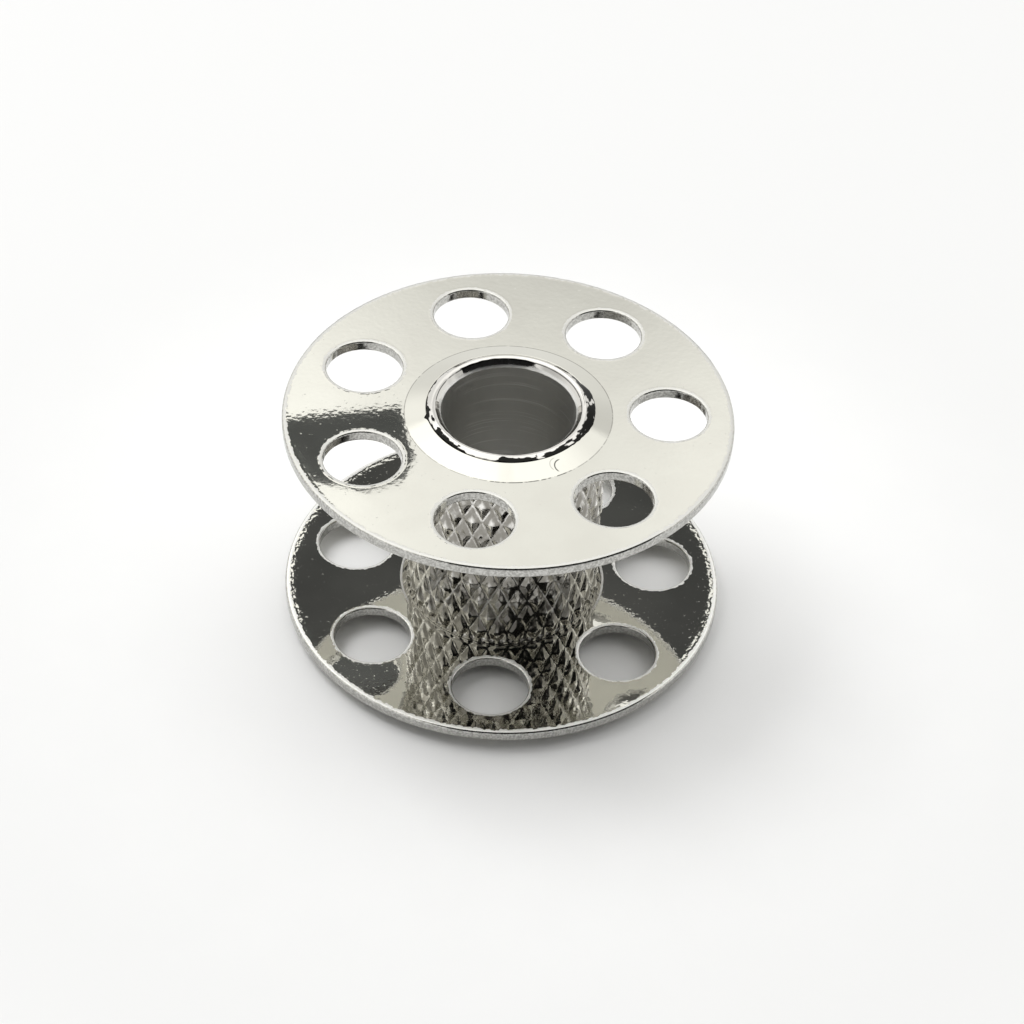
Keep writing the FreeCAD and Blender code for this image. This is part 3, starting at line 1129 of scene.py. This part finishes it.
@dataclass
class Studio:
    """The white floor, a soft lamp and the dark cards that the mirrors show; lengths in millimetres."""

    floor_half: float = 600.0
    lamp_place: Point = (-220.0, 160.0, 420.0)
    lamp_size: float = 260.0
    lamp_watts: float = 0.8
    wall_turn: float = 24.0
    wall_distance: float = 250.0
    wall_half: float = 240.0
    wall_low: float = -75.0
    wall_high: float = 145.0
    bar_distance: float = 60.0
    bar_outline: tuple[tuple[float, float], ...] = (
        (-16.3, 64.5), (-7.8, 62.9), (-7.2, 66.0), (-6.7, 67.6),
        (-7.5, 69.8), (-10.1, 71.1), (-14.1, 70.4), (-16.0, 67.0),
    )
    beam_distance: float = 600.0
    beam_outline: tuple[tuple[float, float], ...] = (
        (-54.0, 600.0), (-28.0, 600.0), (-28.0, 640.0), (-54.0, 640.0),
    )
    # the sheet: a painted dark reflection, reaching out from under the upper flange's rim
    sheet_near: float = 10.15
    sheet_far: float = 10.75
    sheet_centre: tuple[float, float] = (-0.033, 10.02)
    sheet_height: float = 10.62

    def floor(self) -> bpy.types.Object:
        """Lays the floor under the lower lip."""
        half = self.floor_half * MM
        mesh = bpy.data.meshes.new("floor")
        corners = [(-half, -half, 0), (half, -half, 0), (half, half, 0), (-half, half, 0)]
        mesh.from_pydata(corners, [], [(0, 1, 2, 3)])
        mesh.materials.append(FloorPaper().build())
        floor = add_object("floor", mesh)
        return floor

    def lamp(self) -> bpy.types.Object:
        """Hangs a large soft lamp behind the bobbin on the left."""
        data = bpy.data.lights.new("soft_lamp", "AREA")
        data.size = self.lamp_size * MM
        data.energy = self.lamp_watts
        lamp = add_object("soft_lamp", data)
        place = np.array(self.lamp_place)
        back = place / np.linalg.norm(place)
        right = np.cross((0.0, 0.0, 1.0), back)
        set_axes(lamp, right / np.linalg.norm(right), back, place)
        lamp.visible_glossy = False
        return lamp

    @staticmethod
    def crescent(near: float, far: float, centre: Array, height: float) -> Array:
        """Outlines the part of a disc that lies outside another disc about the axis.

        Args:
            near: Radius of the disc about the axis.
            far: Radius of the other disc.
            centre: Centre of the other disc.
            height: Height of the crescent.

        Returns:
            Corners in order round the edge.
        """
        apart = np.linalg.norm(centre)
        towards = math.atan2(centre[1], centre[0])
        half_near = math.acos((apart ** 2 + near ** 2 - far ** 2) / (2.0 * apart * near))
        half_far = math.pi - math.acos((apart ** 2 + far ** 2 - near ** 2) / (2.0 * apart * far))
        share = np.linspace(-1.0, 1.0, 81)
        inner, outer = towards + half_near * share, towards + half_far * share[::-1]
        edge = np.concatenate([
            near * np.stack([np.cos(inner), np.sin(inner)], axis=-1),
            far * np.stack([np.cos(outer), np.sin(outer)], axis=-1) + centre,
        ])
        return np.concatenate([edge, np.full_like(edge[:, :1], height)], axis=-1)

    @staticmethod
    def upright(outline: tuple[tuple[float, float], ...], distance: float) -> Array:
        """Stands an outline of ways across and heights at a distance behind the bobbin."""
        across, height = np.array(outline).T
        return np.stack([across, np.full_like(across, distance), height], axis=-1)

    def dark_wall(self) -> list[Card]:
        """Stands a dark wall on the camera's side, turned to the right, and a paler foot under it."""
        turn = turn_about_z(self.wall_turn)
        back, right = turn @ PhotoCamera().back, turn @ np.array([1.0, 0.0, 0.0])
        up = np.cross(back, right)
        aside = self.wall_half * right
        low, high = (self.wall_distance * back + level * up for level in (self.wall_low, self.wall_high))
        wall = np.array([low - aside, low + aside, high + aside, high - aside])
        foot = np.concatenate([wall[:2] * (1.0, 1.0, 0.0), wall[1::-1]])
        black = DarkCloth("wall_cloth", (0.01, 0.01, 0.01, 1.0), (0.02, 0.02, 0.02, 1.0))
        grey = DarkCloth("foot_cloth", (0.24, 0.24, 0.24, 1.0), (0.36, 0.36, 0.36, 1.0))
        return [Card("dark_wall", wall, black), Card("dark_wall_foot", foot, grey)]

    def cards(self) -> list[Card]:
        """Lists the cards: the dark wall, a beam and a bar behind on the left, and a dark sheet reaching out
        behind from under the upper flange's rim, which paints a dark reflection on the lower flange.
        """
        beam = self.upright(self.beam_outline, self.beam_distance)
        bar = self.upright(self.bar_outline, self.bar_distance)
        # painted dark reflection for the lower flange
        sheet = self.crescent(self.sheet_near, self.sheet_far, np.array(self.sheet_centre), self.sheet_height)
        bar_cloth = DarkCloth("bar_cloth", (0.11, 0.115, 0.115, 1.0), (0.145, 0.15, 0.15, 1.0))
        sheet_cloth = DarkCloth("sheet_cloth", (0.08, 0.082, 0.082, 1.0), (0.11, 0.112, 0.112, 1.0))
        return [
            *self.dark_wall(),
            Card("dark_beam", beam, DarkCloth("beam_cloth")),
            Card("dark_bar", bar, bar_cloth),
            Card("dark_sheet", sheet, sheet_cloth),
        ]

    def build(self) -> list[bpy.types.Object]:
        """Sets up the studio."""
        return [self.floor(), self.lamp(), *(card.build() for card in self.cards())]


def main() -> None:
    """Builds the bobbin, the studio and the camera."""
    logging.basicConfig(level=logging.INFO, format="%(message)s")
    bpy.context.scene.view_settings.view_transform = "Standard"
    nickel = BrightNickel().build()
    pieces = [Hub().build(TurnedNickel().build())]
    pieces += [Flange(end).build(nickel) for end in End]
    for piece in pieces:
        LOG.info("%s: %d triangles", piece.name, len(piece.data.polygons))
    Room().build()
    for item in Studio().build():
        LOG.info("studio: %s", item.name)
    PhotoCamera().build()


if __name__ == "__main__":
    main()
